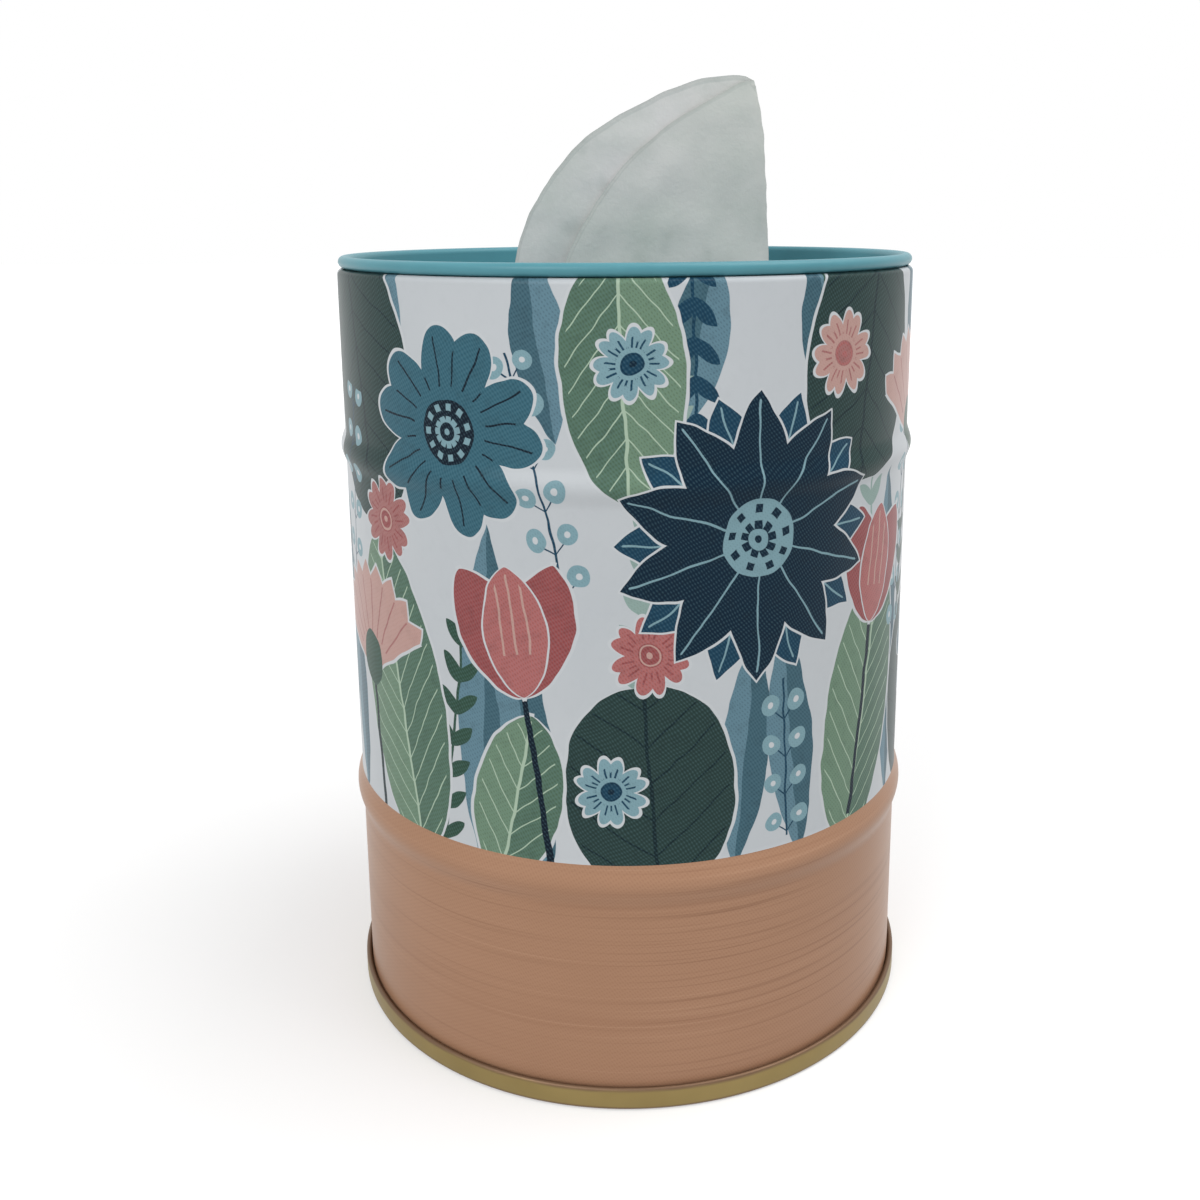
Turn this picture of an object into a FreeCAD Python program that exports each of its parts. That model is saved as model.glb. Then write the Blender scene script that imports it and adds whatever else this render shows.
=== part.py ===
import FreeCAD
import Part
import math
import os

# A drum-shaped printed tin with a seamed-on bottom and a plug lid.
# Folded paper tissues stand in the tin and come out one by one through a slot in the lid.
# Millimetres, +Z up. The origin is the middle of the base ring's underside.

# Can body: a tinplate strip rolled to a tube, with two drum beads and a curled mouth
body_metal = 0.25
body_radius = 41.5
body_height = 108.9
mouth_curl_diameter = 1.5
lower_bead_centre = 32.0
lower_bead_width = 7.0
lower_bead_rise = 0.8
upper_bead_centre = 84.0
upper_bead_width = 5.4
upper_bead_rise = 0.65
side_lap_width = 5.0
side_lap_setback = 6.0
side_lap_weld = 0.05

# Double seam: the rim of the bottom end is folded round the hooked foot of the body
end_metal = 0.25
seam_height = 3.2
seam_gap = 0.06
seam_base_radius = 0.32
body_hook_length = 2.0
cover_hook_length = 2.2
bottom_recess = 3.6
bottom_corner_radius = 0.7
bottom_step_radius = 36.0
bottom_step_rise = 0.5
bottom_step_slope = 40.0

# Plug lid: a drawn dish with a rolled rim that sits on the mouth curl
lid_metal = 0.25
lid_plug_clearance = 0.1
lid_seat_gap = 0.1
lid_curl_diameter = 1.65
lid_recess = 11.0
lid_corner_radius = 1.4
curl_turn = 270.0

# Slot in the lid, with a rolled hem
slot_length = 58.0
slot_width = 10.0
hem_radius = 0.5

# Tissues: flat sheets folded once across the middle, standing in the tin as a rolled pack
tissue_length = 180.0
tissue_headroom = 4.675
tissue_fold_thickness = 0.2
tissue_pitch = 0.32
tissue_count = 24
pack_mouth_clearance = 0.8

# Raised tissue: gathered to two leaves that share a fold, drawn up through the slot
leaf_thickness = 0.4
leaf_gap = 1.2
leaf_slot_clearance = 0.3
leaf_left = -18.0
leaf_right = 22.0
leaf_right_at_tip = 18.5
tissue_rise = 25.6
interfold_overlap = 21.0
interfold_lead = 1.5

# Upper edges of the two leaves, as shares of the leaf's width and of its height above the lid panel
rear_edge = [(0.0, 0.12), (0.08, 0.43), (0.23, 0.67), (0.55, 0.90), (0.86, 1.0), (1.1, 0.985)]
front_edge = [(0.0, -0.95), (0.27, 0.27), (0.40, 0.55), (0.66, 0.82), (0.90, 0.935), (1.1, 0.985)]

# Heights and radii that follow from the sizes above
rim_top = body_height + lid_seat_gap + lid_curl_diameter
lid_panel_top = rim_top - lid_recess
floor_top = bottom_recess + end_metal + bottom_step_rise
hem_foot = lid_panel_top - lid_metal / 2 - hem_radius
tissue_cut_height = 2 * (hem_foot - floor_top - tissue_headroom)
folded_height = tissue_cut_height / 2
mouth_radius = body_radius - mouth_curl_diameter
pack_radius = mouth_radius - pack_mouth_clearance
tissue_tip = rim_top + tissue_rise
tissue_foot = tissue_tip - folded_height
leaf_middle = slot_width / 2 - leaf_slot_clearance - leaf_thickness - leaf_gap / 2


def upright(across, up):
    """A point of the section through the axis: radius across, height up."""
    return FreeCAD.Vector(across, 0, up)


def level(height):
    """Maps points of a plan view to the given height."""
    return lambda across, up: FreeCAD.Vector(across, up, height)


def strip_wire(start, heading, moves, sides, place):
    """Outline of a strip along tangent moves: ("run", length) or ("bend", radius, degrees to the left).

    sides gives how far the strip reaches to the left of its path, and where its right side lies.
    """
    across, up = start
    angle = math.radians(heading)
    outlines = ([], [])

    def beside(offset):
        return place(across - offset * math.sin(angle), up + offset * math.cos(angle))

    first = [beside(offset) for offset in sides]
    last = list(first)
    for move in moves:
        if move[0] == "run":
            across += move[1] * math.cos(angle)
            up += move[1] * math.sin(angle)
            ends = [beside(offset) for offset in sides]
            for outline, begin, end in zip(outlines, last, ends):
                outline.append(Part.LineSegment(begin, end).toShape())
        else:
            radius, turn = move[1], math.radians(move[2])
            reach = math.copysign(radius, turn)
            centre = (across - reach * math.sin(angle), up + reach * math.cos(angle))
            stops = []
            for part_turn in (turn / 2, turn / 2):
                angle += part_turn
                across = centre[0] + reach * math.sin(angle)
                up = centre[1] - reach * math.cos(angle)
                stops.append([beside(offset) for offset in sides])
            middles, ends = stops
            for outline, begin, middle, end in zip(outlines, last, middles, ends):
                outline.append(Part.Arc(begin, middle, end).toShape())
        last = ends
    left, right = outlines
    far_cap = Part.LineSegment(last[0], last[1]).toShape()
    near_cap = Part.LineSegment(first[1], first[0]).toShape()
    return Part.Wire(left + [far_cap] + right[::-1] + [near_cap])


def centred(thickness):
    return (thickness / 2, -thickness / 2)


def spun(wire, start_angle=0.0, sweep=360.0):
    """Solid made by turning a section round the axis."""
    face = Part.Face(wire)
    face.rotate(FreeCAD.Vector(0, 0, 0), FreeCAD.Vector(0, 0, 1), start_angle)
    return face.revolve(FreeCAD.Vector(0, 0, 0), FreeCAD.Vector(0, 0, 1), sweep)


def bead_moves(width, rise):
    """Three bends that swell a rising wall outwards by rise and bring it back."""
    slope = 2 * math.atan(2 * rise / width)
    radius = width / (4 * math.sin(slope))
    degrees = math.degrees(slope)
    return [("bend", radius, -degrees), ("bend", radius, 2 * degrees), ("bend", radius, -degrees)]


def step_moves(drop, degrees):
    """Two bends that lower an outward-running panel by drop, with the length that they take."""
    radius = drop / (2 * (1 - math.cos(math.radians(degrees))))
    length = 2 * radius * math.sin(math.radians(degrees))
    return [("bend", radius, -degrees), ("bend", radius, degrees)], length


def beaded_wall_moves(bottom, top):
    """The rising wall between two heights, with both drum beads."""
    lower_start = lower_bead_centre - lower_bead_width / 2
    lower_end = lower_bead_centre + lower_bead_width / 2
    upper_start = upper_bead_centre - upper_bead_width / 2
    upper_end = upper_bead_centre + upper_bead_width / 2
    moves = [("run", lower_start - bottom)]
    moves += bead_moves(lower_bead_width, lower_bead_rise)
    moves += [("run", upper_start - lower_end)]
    moves += bead_moves(upper_bead_width, upper_bead_rise)
    moves += [("run", top - upper_end)]
    return moves


# Layers of the double seam, from the wall outwards, at the middle of each metal
wall_middle = body_radius - body_metal / 2
cover_hook_middle = body_radius + seam_gap + end_metal / 2
body_hook_middle = cover_hook_middle + end_metal / 2 + seam_gap + body_metal / 2
seam_wall_middle = body_hook_middle + body_metal / 2 + seam_gap + end_metal / 2
chuck_wall_middle = body_radius - body_metal - seam_gap - end_metal / 2


def can_body():
    """Rolled and lap-welded tube: hooked foot, two beads, mouth curled inwards."""
    hook_bend = (body_hook_middle - wall_middle) / 2
    hook_foot = end_metal + seam_gap
    hook_bend_centre = hook_foot + body_metal / 2 + hook_bend
    hook_top = hook_foot + body_hook_length
    curl_bend = (mouth_curl_diameter - body_metal) / 2
    curl_centre = body_height - mouth_curl_diameter / 2
    moves = [("run", hook_top - hook_bend_centre), ("bend", hook_bend, -180.0)]
    moves += beaded_wall_moves(hook_bend_centre, curl_centre)
    moves += [("bend", curl_bend, curl_turn)]
    wall = spun(strip_wire((body_hook_middle, hook_top), -90.0, moves, centred(body_metal), upright))
    # The strip's far edge laps inside the near edge at the back of the can
    lap_bottom = floor_top + side_lap_setback
    lap_top = body_height - mouth_curl_diameter - side_lap_setback
    lap_sides = (body_metal * 1.5, body_metal / 2 - side_lap_weld)
    lap_wire = strip_wire(
        (wall_middle, lap_bottom), 90.0, beaded_wall_moves(lap_bottom, lap_top), lap_sides, upright
    )
    lap_angle = math.degrees(side_lap_width / body_radius)
    lap = spun(lap_wire, 90.0 - lap_angle / 2, lap_angle)
    return wall.fuse(lap).removeSplitter()


def bottom_end():
    """Stamped end: stepped panel, chuck wall, flat base ring, seam wall and cover hook."""
    panel_middle = bottom_recess + end_metal / 2 + bottom_step_rise
    step, step_length = step_moves(bottom_step_rise, bottom_step_slope)
    step_end = bottom_step_radius + step_length
    corner_bend = bottom_corner_radius + end_metal / 2
    base_bend = seam_base_radius + end_metal / 2
    hook_bend = (seam_wall_middle - cover_hook_middle) / 2
    chuck_top = bottom_recess + end_metal / 2 - corner_bend
    chuck_foot = end_metal / 2 + base_bend
    hook_bend_centre = seam_height - end_metal / 2 - hook_bend
    hook_foot = seam_height - cover_hook_length
    moves = [("run", bottom_step_radius)]
    moves += step
    moves += [
        ("run", chuck_wall_middle - corner_bend - step_end),
        ("bend", corner_bend, -90.0),
        ("run", chuck_top - chuck_foot),
        ("bend", base_bend, 90.0),
        ("run", seam_wall_middle - chuck_wall_middle - 2 * base_bend),
        ("bend", base_bend, 90.0),
        ("run", hook_bend_centre - chuck_foot),
        ("bend", hook_bend, 180.0),
        ("run", hook_bend_centre - hook_foot),
    ]
    return spun(strip_wire((0.0, panel_middle), 0.0, moves, centred(end_metal), upright))


def slot_wire(margin, height):
    """Round-ended slot outline, larger than the clear slot by margin all round."""
    end_radius = slot_width / 2 + margin
    end_centre = (slot_length - slot_width) / 2
    at = level(height)
    right_end = Part.Arc(
        at(end_centre, -end_radius), at(end_centre + end_radius, 0), at(end_centre, end_radius)
    )
    left_end = Part.Arc(
        at(-end_centre, end_radius), at(-end_centre - end_radius, 0), at(-end_centre, -end_radius)
    )
    rear_side = Part.LineSegment(at(end_centre, end_radius), at(-end_centre, end_radius))
    front_side = Part.LineSegment(at(-end_centre, -end_radius), at(end_centre, -end_radius))
    return Part.Wire([side.toShape() for side in (front_side, right_end, rear_side, left_end)])


def lid():
    """Drawn plug lid: recessed panel with a hemmed slot, plug wall and a rim rolled outwards."""
    panel_middle = lid_panel_top - lid_metal / 2
    plug_middle = mouth_radius - lid_plug_clearance - lid_metal / 2
    corner_bend = lid_corner_radius + lid_metal / 2
    curl_bend = (lid_curl_diameter - lid_metal) / 2
    curl_centre = rim_top - lid_curl_diameter / 2
    moves = [
        ("run", plug_middle - corner_bend),
        ("bend", corner_bend, 90.0),
        ("run", curl_centre - panel_middle - corner_bend),
        ("bend", curl_bend, -curl_turn),
    ]
    dish = spun(strip_wire((0.0, panel_middle), 0.0, moves, centred(lid_metal), upright))
    cutter_foot = lid_panel_top - lid_metal - hem_radius
    cutter_depth = lid_metal + 2 * hem_radius
    cutter = Part.Face(slot_wire(hem_radius, cutter_foot)).extrude(FreeCAD.Vector(0, 0, cutter_depth))
    hem_path = slot_wire(hem_radius, panel_middle)
    hem_start = FreeCAD.Vector(0, -slot_width / 2 - hem_radius, panel_middle)
    hem_round = Part.Wire(Part.makeCircle(hem_radius, hem_start, FreeCAD.Vector(1, 0, 0)))
    hem = hem_path.makePipeShell([hem_round], True, False)
    return dish.cut(cutter).fuse(hem).removeSplitter()


def tissue_pack():
    """Folded tissues nested in each other, each bent to the round of the tin."""
    tissues = []
    for place_in_pack in range(tissue_count):
        radius = pack_radius - tissue_fold_thickness / 2 - place_in_pack * tissue_pitch
        sweep = math.degrees(tissue_length / radius)
        first = math.radians(-sweep / 2)
        wire = strip_wire(
            (radius * math.cos(first), radius * math.sin(first)),
            90.0 - sweep / 2,
            [("bend", radius, sweep)],
            centred(tissue_fold_thickness),
            level(floor_top),
        )
        tissues.append(Part.Face(wire).extrude(FreeCAD.Vector(0, 0, folded_height)))
    return Part.makeCompound(tissues)


def next_tissue():
    """Innermost tissue: its end leaves the round of the pack and is tucked between the raised leaves."""
    radius = pack_radius - tissue_fold_thickness / 2 - tissue_count * tissue_pitch
    turn_start = leaf_left - interfold_lead
    turn_radius = (radius**2 - turn_start**2 - leaf_middle**2) / (2 * (radius + leaf_middle))
    turn_centre = (turn_start, leaf_middle + turn_radius)
    joining_angle = math.degrees(math.atan2(turn_centre[1], turn_centre[0]))
    turn = 270.0 - joining_angle
    tucked = interfold_overlap + interfold_lead
    left_over = tissue_length - tucked - math.radians(turn) * turn_radius
    moves = [
        ("run", tucked),
        ("bend", turn_radius, -turn),
        ("bend", radius, -math.degrees(left_over / radius)),
    ]
    wire = strip_wire(
        (leaf_left + interfold_overlap, leaf_middle),
        180.0,
        moves,
        centred(tissue_fold_thickness),
        level(floor_top),
    )
    return Part.Face(wire).extrude(FreeCAD.Vector(0, 0, folded_height))


def leaf_section(right, height):
    """Plan of the gathered tissue: two leaves that share one fold at the right."""
    fold_bend = (leaf_gap + leaf_thickness) / 2
    run = right - leaf_thickness / 2 - fold_bend - leaf_left
    moves = [("run", run), ("bend", fold_bend, 90.0), ("bend", fold_bend, 90.0), ("run", run)]
    start = (leaf_left, leaf_middle - fold_bend)
    return strip_wire(start, 0.0, moves, centred(leaf_thickness), level(height))


def leaf_waste(edge, near, far):
    """What is trimmed off above a leaf's upper edge, between two depths."""
    width = leaf_right - leaf_left
    height = tissue_tip - lid_panel_top
    points = []
    for share_across, share_up in edge:
        across = leaf_left + share_across * width
        points.append(FreeCAD.Vector(across, near, lid_panel_top + share_up * height))
    curve = Part.BSplineCurve()
    curve.interpolate(points)
    above = tissue_tip + height
    first_top = FreeCAD.Vector(points[0].x, near, above)
    last_top = FreeCAD.Vector(points[-1].x, near, above)
    outline = Part.Wire(
        [
            curve.toShape(),
            Part.LineSegment(points[-1], last_top).toShape(),
            Part.LineSegment(last_top, first_top).toShape(),
            Part.LineSegment(first_top, points[0]).toShape(),
        ]
    )
    return Part.Face(outline).extrude(FreeCAD.Vector(0, far - near, 0))


def raised_tissue():
    """The drawn-up tissue: straight inside the tin, leaning in above the lid, with rounded upper edges."""
    hidden = Part.Face(leaf_section(leaf_right, tissue_foot)).extrude(
        FreeCAD.Vector(0, 0, lid_panel_top - tissue_foot)
    )
    shown = Part.makeLoft(
        [leaf_section(leaf_right, lid_panel_top), leaf_section(leaf_right_at_tip, tissue_tip)], True, True
    )
    sheet = hidden.fuse(shown).removeSplitter()
    half_depth = leaf_gap / 2 + leaf_thickness
    rear_waste = leaf_waste(rear_edge, leaf_middle, leaf_middle + 2 * half_depth)
    front_waste = leaf_waste(front_edge, leaf_middle - 2 * half_depth, leaf_middle)
    return sheet.cut(rear_waste).cut(front_waste)


os.makedirs("parts", exist_ok=True)
pieces = {
    "can_body": can_body(),
    "bottom_end": bottom_end(),
    "lid": lid(),
    "tissue_pack": tissue_pack(),
    "next_tissue": next_tissue(),
    "raised_tissue": raised_tissue(),
}
for node, shape in pieces.items():
    shape.exportStep("parts/" + node + ".step")
    print(node, shape.isValid(), len(shape.Solids), round(shape.Volume, 1))
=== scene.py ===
import math

import bpy
from mathutils import Matrix, Vector, noise


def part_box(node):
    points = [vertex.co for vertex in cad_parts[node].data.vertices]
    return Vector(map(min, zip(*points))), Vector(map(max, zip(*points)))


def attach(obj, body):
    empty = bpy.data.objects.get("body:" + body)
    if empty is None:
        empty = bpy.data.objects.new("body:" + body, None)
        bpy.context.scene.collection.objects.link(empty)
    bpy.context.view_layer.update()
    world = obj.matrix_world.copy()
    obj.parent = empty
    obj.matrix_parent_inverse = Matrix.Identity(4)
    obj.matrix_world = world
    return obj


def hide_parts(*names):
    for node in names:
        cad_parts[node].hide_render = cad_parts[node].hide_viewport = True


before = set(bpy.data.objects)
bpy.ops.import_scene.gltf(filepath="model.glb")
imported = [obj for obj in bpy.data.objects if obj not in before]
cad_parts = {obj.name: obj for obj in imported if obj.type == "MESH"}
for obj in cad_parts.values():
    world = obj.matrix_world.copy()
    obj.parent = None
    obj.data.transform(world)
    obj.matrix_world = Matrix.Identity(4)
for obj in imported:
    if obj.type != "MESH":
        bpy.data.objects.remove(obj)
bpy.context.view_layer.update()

# Can body.
# A strip of tinplate, printed flat, rolled to a tube and welded along a lap at the back.
# Two rolled beads stiffen the wall, and the mouth is curled inwards to carry the lid.
tinplate = 0.00025
body_radius = 0.0415
body_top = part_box("can_body")[1].z
body_foot = 0.0006
mouth_curl = 0.0015
# Each bead has the height of its middle, its width and its rise.
lower_bead = (0.032, 0.007, 0.0008)
upper_bead = (0.084, 0.0054, 0.00065)
bead_steps = 16
turn_steps = 192
bend_step = 15.0
merge_distance = 1e-6
crease_angle = math.radians(35)
print_foot = 0.0349
wall_middle = body_radius - tinplate / 2


def arc_points(centre, radius, first, last):
    """Points (radius, height) round a bend, from one angle to another in degrees."""
    count = max(2, round(abs(last - first) / bend_step))
    points = []
    for index in range(count + 1):
        angle = math.radians(first + (last - first) * index / count)
        points.append((centre[0] + radius * math.cos(angle), centre[1] + radius * math.sin(angle)))
    return points


def spin_sheet(name, outline):
    """A sheet of no thickness: the outline drawn point by point, then spun round the can's axis."""
    bpy.ops.object.select_all(action="DESELECT")
    bpy.ops.mesh.primitive_plane_add(size=tinplate, location=(0, 0, 0))
    sheet = bpy.context.object
    sheet.name = name
    bpy.ops.object.mode_set(mode="EDIT")
    bpy.ops.mesh.select_mode(type="VERT")
    bpy.ops.mesh.select_all(action="SELECT")
    bpy.ops.mesh.merge(type="CENTER")
    bpy.ops.transform.translate(value=(outline[0][0], 0, outline[0][1]))
    for near, far in zip(outline, outline[1:]):
        step = (far[0] - near[0], 0, far[1] - near[1])
        bpy.ops.mesh.extrude_region_move(TRANSFORM_OT_translate={"value": step})
    bpy.ops.mesh.select_all(action="SELECT")
    bpy.ops.mesh.spin(steps=turn_steps, angle=2 * math.pi, center=(0, 0, 0), axis=(0, 0, 1))
    bpy.ops.mesh.select_all(action="SELECT")
    bpy.ops.mesh.remove_doubles(threshold=merge_distance)
    bpy.ops.mesh.normals_make_consistent(inside=False)
    bpy.ops.object.mode_set(mode="OBJECT")
    return sheet


def thicken(piece, metal, inside_slot=0):
    """Gives a sheet its metal, half to each side; the inner face's material is that many slots on."""
    bpy.context.view_layer.objects.active = piece
    wall = piece.modifiers.new("metal", "SOLIDIFY")
    wall.thickness = metal
    wall.offset = 0.0
    wall.use_even_offset = True
    wall.material_offset = inside_slot
    bpy.ops.object.modifier_apply(modifier=wall.name)
    bpy.ops.object.shade_smooth_by_angle(angle=crease_angle)


curl_middle = (mouth_curl - tinplate) / 2
curl_centre = (body_radius - mouth_curl / 2, body_top - mouth_curl / 2)
body_outline = [(wall_middle, body_foot)]
for bead_height, bead_width, bead_rise in (lower_bead, upper_bead):
    heights = [bead_height + bead_width * (index / bead_steps - 0.5) for index in range(bead_steps + 1)]
    if heights[0] < print_foot < heights[-1]:
        heights = sorted(heights + [print_foot])
    for tall in heights:
        swell = bead_rise * math.cos(math.pi * (tall - bead_height) / bead_width) ** 2
        body_outline.append((wall_middle + swell, tall))
body_outline += arc_points(curl_centre, curl_middle, 0, 270)
can_body = spin_sheet("can_body_shell", body_outline)

# The lap at the back shows outside as a fine groove, rolled in where the strip's ends meet.
groove_half_width = 0.00016
groove_depth = 0.0001
groove_runout = 0.001
on_seam = 1e-5


def pick_seam(top):
    """Selects the wall's points along the line of the lap, up to a height, and leaves edit mode on."""
    bpy.ops.object.mode_set(mode="EDIT")
    bpy.ops.mesh.select_mode(type="VERT")
    bpy.ops.mesh.select_all(action="DESELECT")
    bpy.ops.object.mode_set(mode="OBJECT")
    for vertex in can_body.data.vertices:
        vertex.select = abs(vertex.co.x) < on_seam and vertex.co.y > 0 and vertex.co.z < top
    bpy.ops.object.mode_set(mode="EDIT")


pick_seam(curl_centre[1] - on_seam)
bpy.ops.mesh.select_mode(type="EDGE")
bpy.ops.mesh.bevel(offset=groove_half_width, segments=2, affect="EDGES")
pick_seam(curl_centre[1] - groove_runout)
bpy.ops.transform.translate(value=(0, -groove_depth, 0))
bpy.ops.object.mode_set(mode="OBJECT")


class Ink:
    """One shader socket, with the sums that a finish is written in."""

    def __init__(self, tree, socket=None):
        self.tree = tree
        self.socket = socket

    def node(self, kind, settings, inputs, output=0):
        made = self.tree.nodes.new(kind)
        for name, value in settings.items():
            setattr(made, name, value)
        for key, value in inputs.items():
            if isinstance(value, Ink):
                self.tree.links.new(value.socket, made.inputs[key])
            else:
                made.inputs[key].default_value = value
        return Ink(self.tree, made.outputs[output])

    def math(self, operation, *values):
        return self.node("ShaderNodeMath", {"operation": operation}, dict(enumerate(values)))

    def __add__(self, other):
        return self.math("ADD", self, other)

    def __sub__(self, other):
        return self.math("SUBTRACT", self, other)

    def __rsub__(self, other):
        return self.math("SUBTRACT", other, self)

    def __mul__(self, other):
        return self.math("MULTIPLY", self, other)

    def __abs__(self):
        return self.math("ABSOLUTE", self)

    __radd__ = __add__
    __rmul__ = __mul__

    def least(self, other):
        return self.math("MINIMUM", self, other)

    def most(self, other):
        return self.math("MAXIMUM", self, other)

    def zigzag(self, reach):
        """Runs up to reach and down again, over and over."""
        return self.math("PINGPONG", self, reach)

    def above(self, level, gain):
        """How far this is above a level, times a gain."""
        return (self - level) * gain

    def below(self, level, gain):
        """How far this is below a level, times a gain."""
        return (level - self) * gain

    def rising(self, start, by):
        """A value that rises from its start by so much as this goes from 0 to 1."""
        return self * by + start

    def part(self, axis):
        """One axis of a place, or one channel of a colour."""
        return self.node("ShaderNodeSeparateXYZ", {}, {0: self}, axis)

    def cloudy(self, scale, detail, roughness=0.5):
        """Noise from 0 to 1 at this place."""
        inputs = {"Vector": self, "Scale": scale, "Detail": detail, "Roughness": roughness}
        return self.node("ShaderNodeTexNoise", {}, inputs)

    def brushed(self, cells_across, cells_up, detail, roughness=0.5):
        """Noise drawn out round the tin, with so many cells a metre across and up."""
        scale = (cells_across, cells_across, cells_up)
        drawn_out = self.node("ShaderNodeMapping", {}, {"Vector": self, "Scale": scale})
        return drawn_out.cloudy(1.0, detail, roughness)

    def between(self, first, second):
        """A colour that goes from the first to the second as this share goes from 0 to 1."""
        return self.node("ShaderNodeMix", {"data_type": "RGBA"}, {0: self, 6: first, 7: second}, 2)

    def mixed(self, other, share):
        """This colour with another mixed in by a share from 0 to 1."""
        return share.between(self, other)

    def printed(self, ink, inside):
        """This colour with an ink laid over it, where inside, in millimetres, is above zero."""
        return self.mixed(ink, self.math("MULTIPLY_ADD", inside, print_sharpness, 0.5))


def srgb(red, green, blue):
    """A colour as it is seen on a screen, as the light values that a shader takes."""
    light = []
    for channel in (red, green, blue):
        level = channel / 255
        light.append(level / 12.92 if level < 0.04045 else ((level + 0.055) / 1.055) ** 2.4)
    return (*light, 1.0)


def new_finish(name):
    """A new material, its shader node, and the place of a point on the piece."""
    material = bpy.data.materials.new(name)
    material.use_nodes = True
    shader = material.node_tree.nodes["Principled BSDF"]
    place = Ink(material.node_tree).node("ShaderNodeTexCoord", {}, {}, "Object")
    return material, shader, place


def feed(shader, **sockets):
    """Links values that change over the surface to a shader's sockets."""
    for name, value in sockets.items():
        target = shader.inputs[name.replace("_", " ").title()]
        value.tree.links.new(value.socket, target)


# The print is laid out in millimetres round the wall and up it, and repeats twice round the tin.
millimetres = 1000
print_radius = body_radius * millimetres
repeats_round = 2
print_repeat = 2 * math.pi * print_radius / repeats_round
print_sharpness = 14.0
keyline = 0.45
hand_wobble = 1.0
wobble_scale = 230.0
paper_white = srgb(187, 191, 194)
clouded_white = srgb(178, 183, 187)
navy = srgb(4, 32, 50)
deep_navy = srgb(4, 21, 36)
teal_blue = srgb(54, 96, 111)
dusk_blue = srgb(22, 60, 82)
sky_blue = srgb(121, 153, 162)
sage = srgb(106, 132, 110)
mid_sage = srgb(82, 109, 92)
pale_sage = srgb(158, 178, 158)
deep_sage = srgb(48, 76, 62)
bottle_green = srgb(38, 58, 55)
deep_green = srgb(14, 34, 38)
coral = srgb(168, 102, 100)
deep_coral = srgb(146, 78, 78)
blush = srgb(180, 145, 137)
rose = srgb(160, 106, 103)
slate = srgb(94, 126, 140)
deep_slate = srgb(62, 94, 107)
grey_green = srgb(136, 158, 152)


def wall_place(place):
    """The bearing of a place on the wall, from the front of the tin, and its height in millimetres."""
    bearing = place.math("ARCTAN2", place.part("X"), place.part("Y") * -1.0)
    return bearing, place.part("Z") * millimetres


printed_tin, printed_shader, place = new_finish("printed_tinplate_litho")
bearing, height = wall_place(place)
wobble = place.node(
    "ShaderNodeTexNoise", {}, {"Vector": place, "Scale": wobble_scale, "Detail": 1.0}, "Color"
)
around = bearing * print_radius + (wobble.part("X") - 0.5) * hand_wobble
height = height + (wobble.part("Y") - 0.5) * hand_wobble


def motif(colour, draw, *sizes):
    """The print so far with one motif drawn over it, in a node group of its own."""
    group = bpy.data.node_groups.new(draw.__name__, "ShaderNodeTree")
    for name, kind in (("around", "Float"), ("height", "Float"), ("colour", "Color")):
        group.interface.new_socket(name, in_out="INPUT", socket_type="NodeSocket" + kind)
    group.interface.new_socket("colour", in_out="OUTPUT", socket_type="NodeSocketColor")
    entry = group.nodes.new("NodeGroupInput")
    wall = [Ink(group, socket) for socket in entry.outputs[:2]]
    drawn = draw(Ink(group, entry.outputs[2]), wall, *sizes)
    group.links.new(drawn.socket, group.nodes.new("NodeGroupOutput").inputs[0])
    return colour.node("ShaderNodeGroup", {"node_tree": group}, {0: around, 1: height, 2: colour})


def spot(wall, round_tin, up, lean=0.0):
    """Distances (across, along) from a motif's root, whose axis leans right by some degrees."""
    offset = wall[0] - round_tin
    offset = offset.math("WRAP", offset, print_repeat / 2, -print_repeat / 2)
    local = offset.node("ShaderNodeCombineXYZ", {}, {0: offset, 1: wall[1] - up})
    turn = math.radians(lean)
    axes = ((math.cos(turn), -math.sin(turn), 0), (math.sin(turn), math.cos(turn), 0))
    return [
        local.node("ShaderNodeVectorMath", {"operation": "DOT_PRODUCT"}, {0: local, 1: axis}, "Value")
        for axis in axes
    ]


def polar(across, along):
    """Distance from a motif's root and bearing round it."""
    reach = across.math("SQRT", across * across + along * along)
    return reach, across.math("ARCTAN2", across, along)


def leaf_shape(side, along, length, width, slimness):
    """How far inside a leaf's outline a point lies."""
    share = along * (length - along) * (4 / length**2)
    half = share.math("POWER", share, slimness) * (width / 2)
    return (half - side).least(share * (length / 4))


def blade(colour, wall, at, length, width):
    """A slim two-toned blade."""
    slimness = 1.0
    across, along = spot(wall, *at)
    inside = leaf_shape(abs(across), along, length, width, slimness)
    colour = colour.printed(slate, inside)
    return colour.printed(deep_slate, inside.least(across))


def sprig(colour, wall, at, length, ink):
    """A straight stem with pairs of small leaves that slant up from it."""
    spacing = 4.6
    leaf_length = 5.0
    leaf_width = 1.9
    leaf_start = spacing * 0.3
    slimness = 0.8
    diagonal = 0.7071
    stem_half_width = 0.2
    across, along = spot(wall, *at)
    side = abs(across)
    step = along.math("WRAP", along, spacing, 0.0)
    leaf_along = (side + step) * diagonal
    leaf_across = (side - step + leaf_start) * diagonal
    leaves = leaf_shape(abs(leaf_across), leaf_along, leaf_length, leaf_width, slimness)
    shape = leaves.most(stem_half_width - side)
    return colour.printed(ink, shape.least(along).least(length - along))


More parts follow.
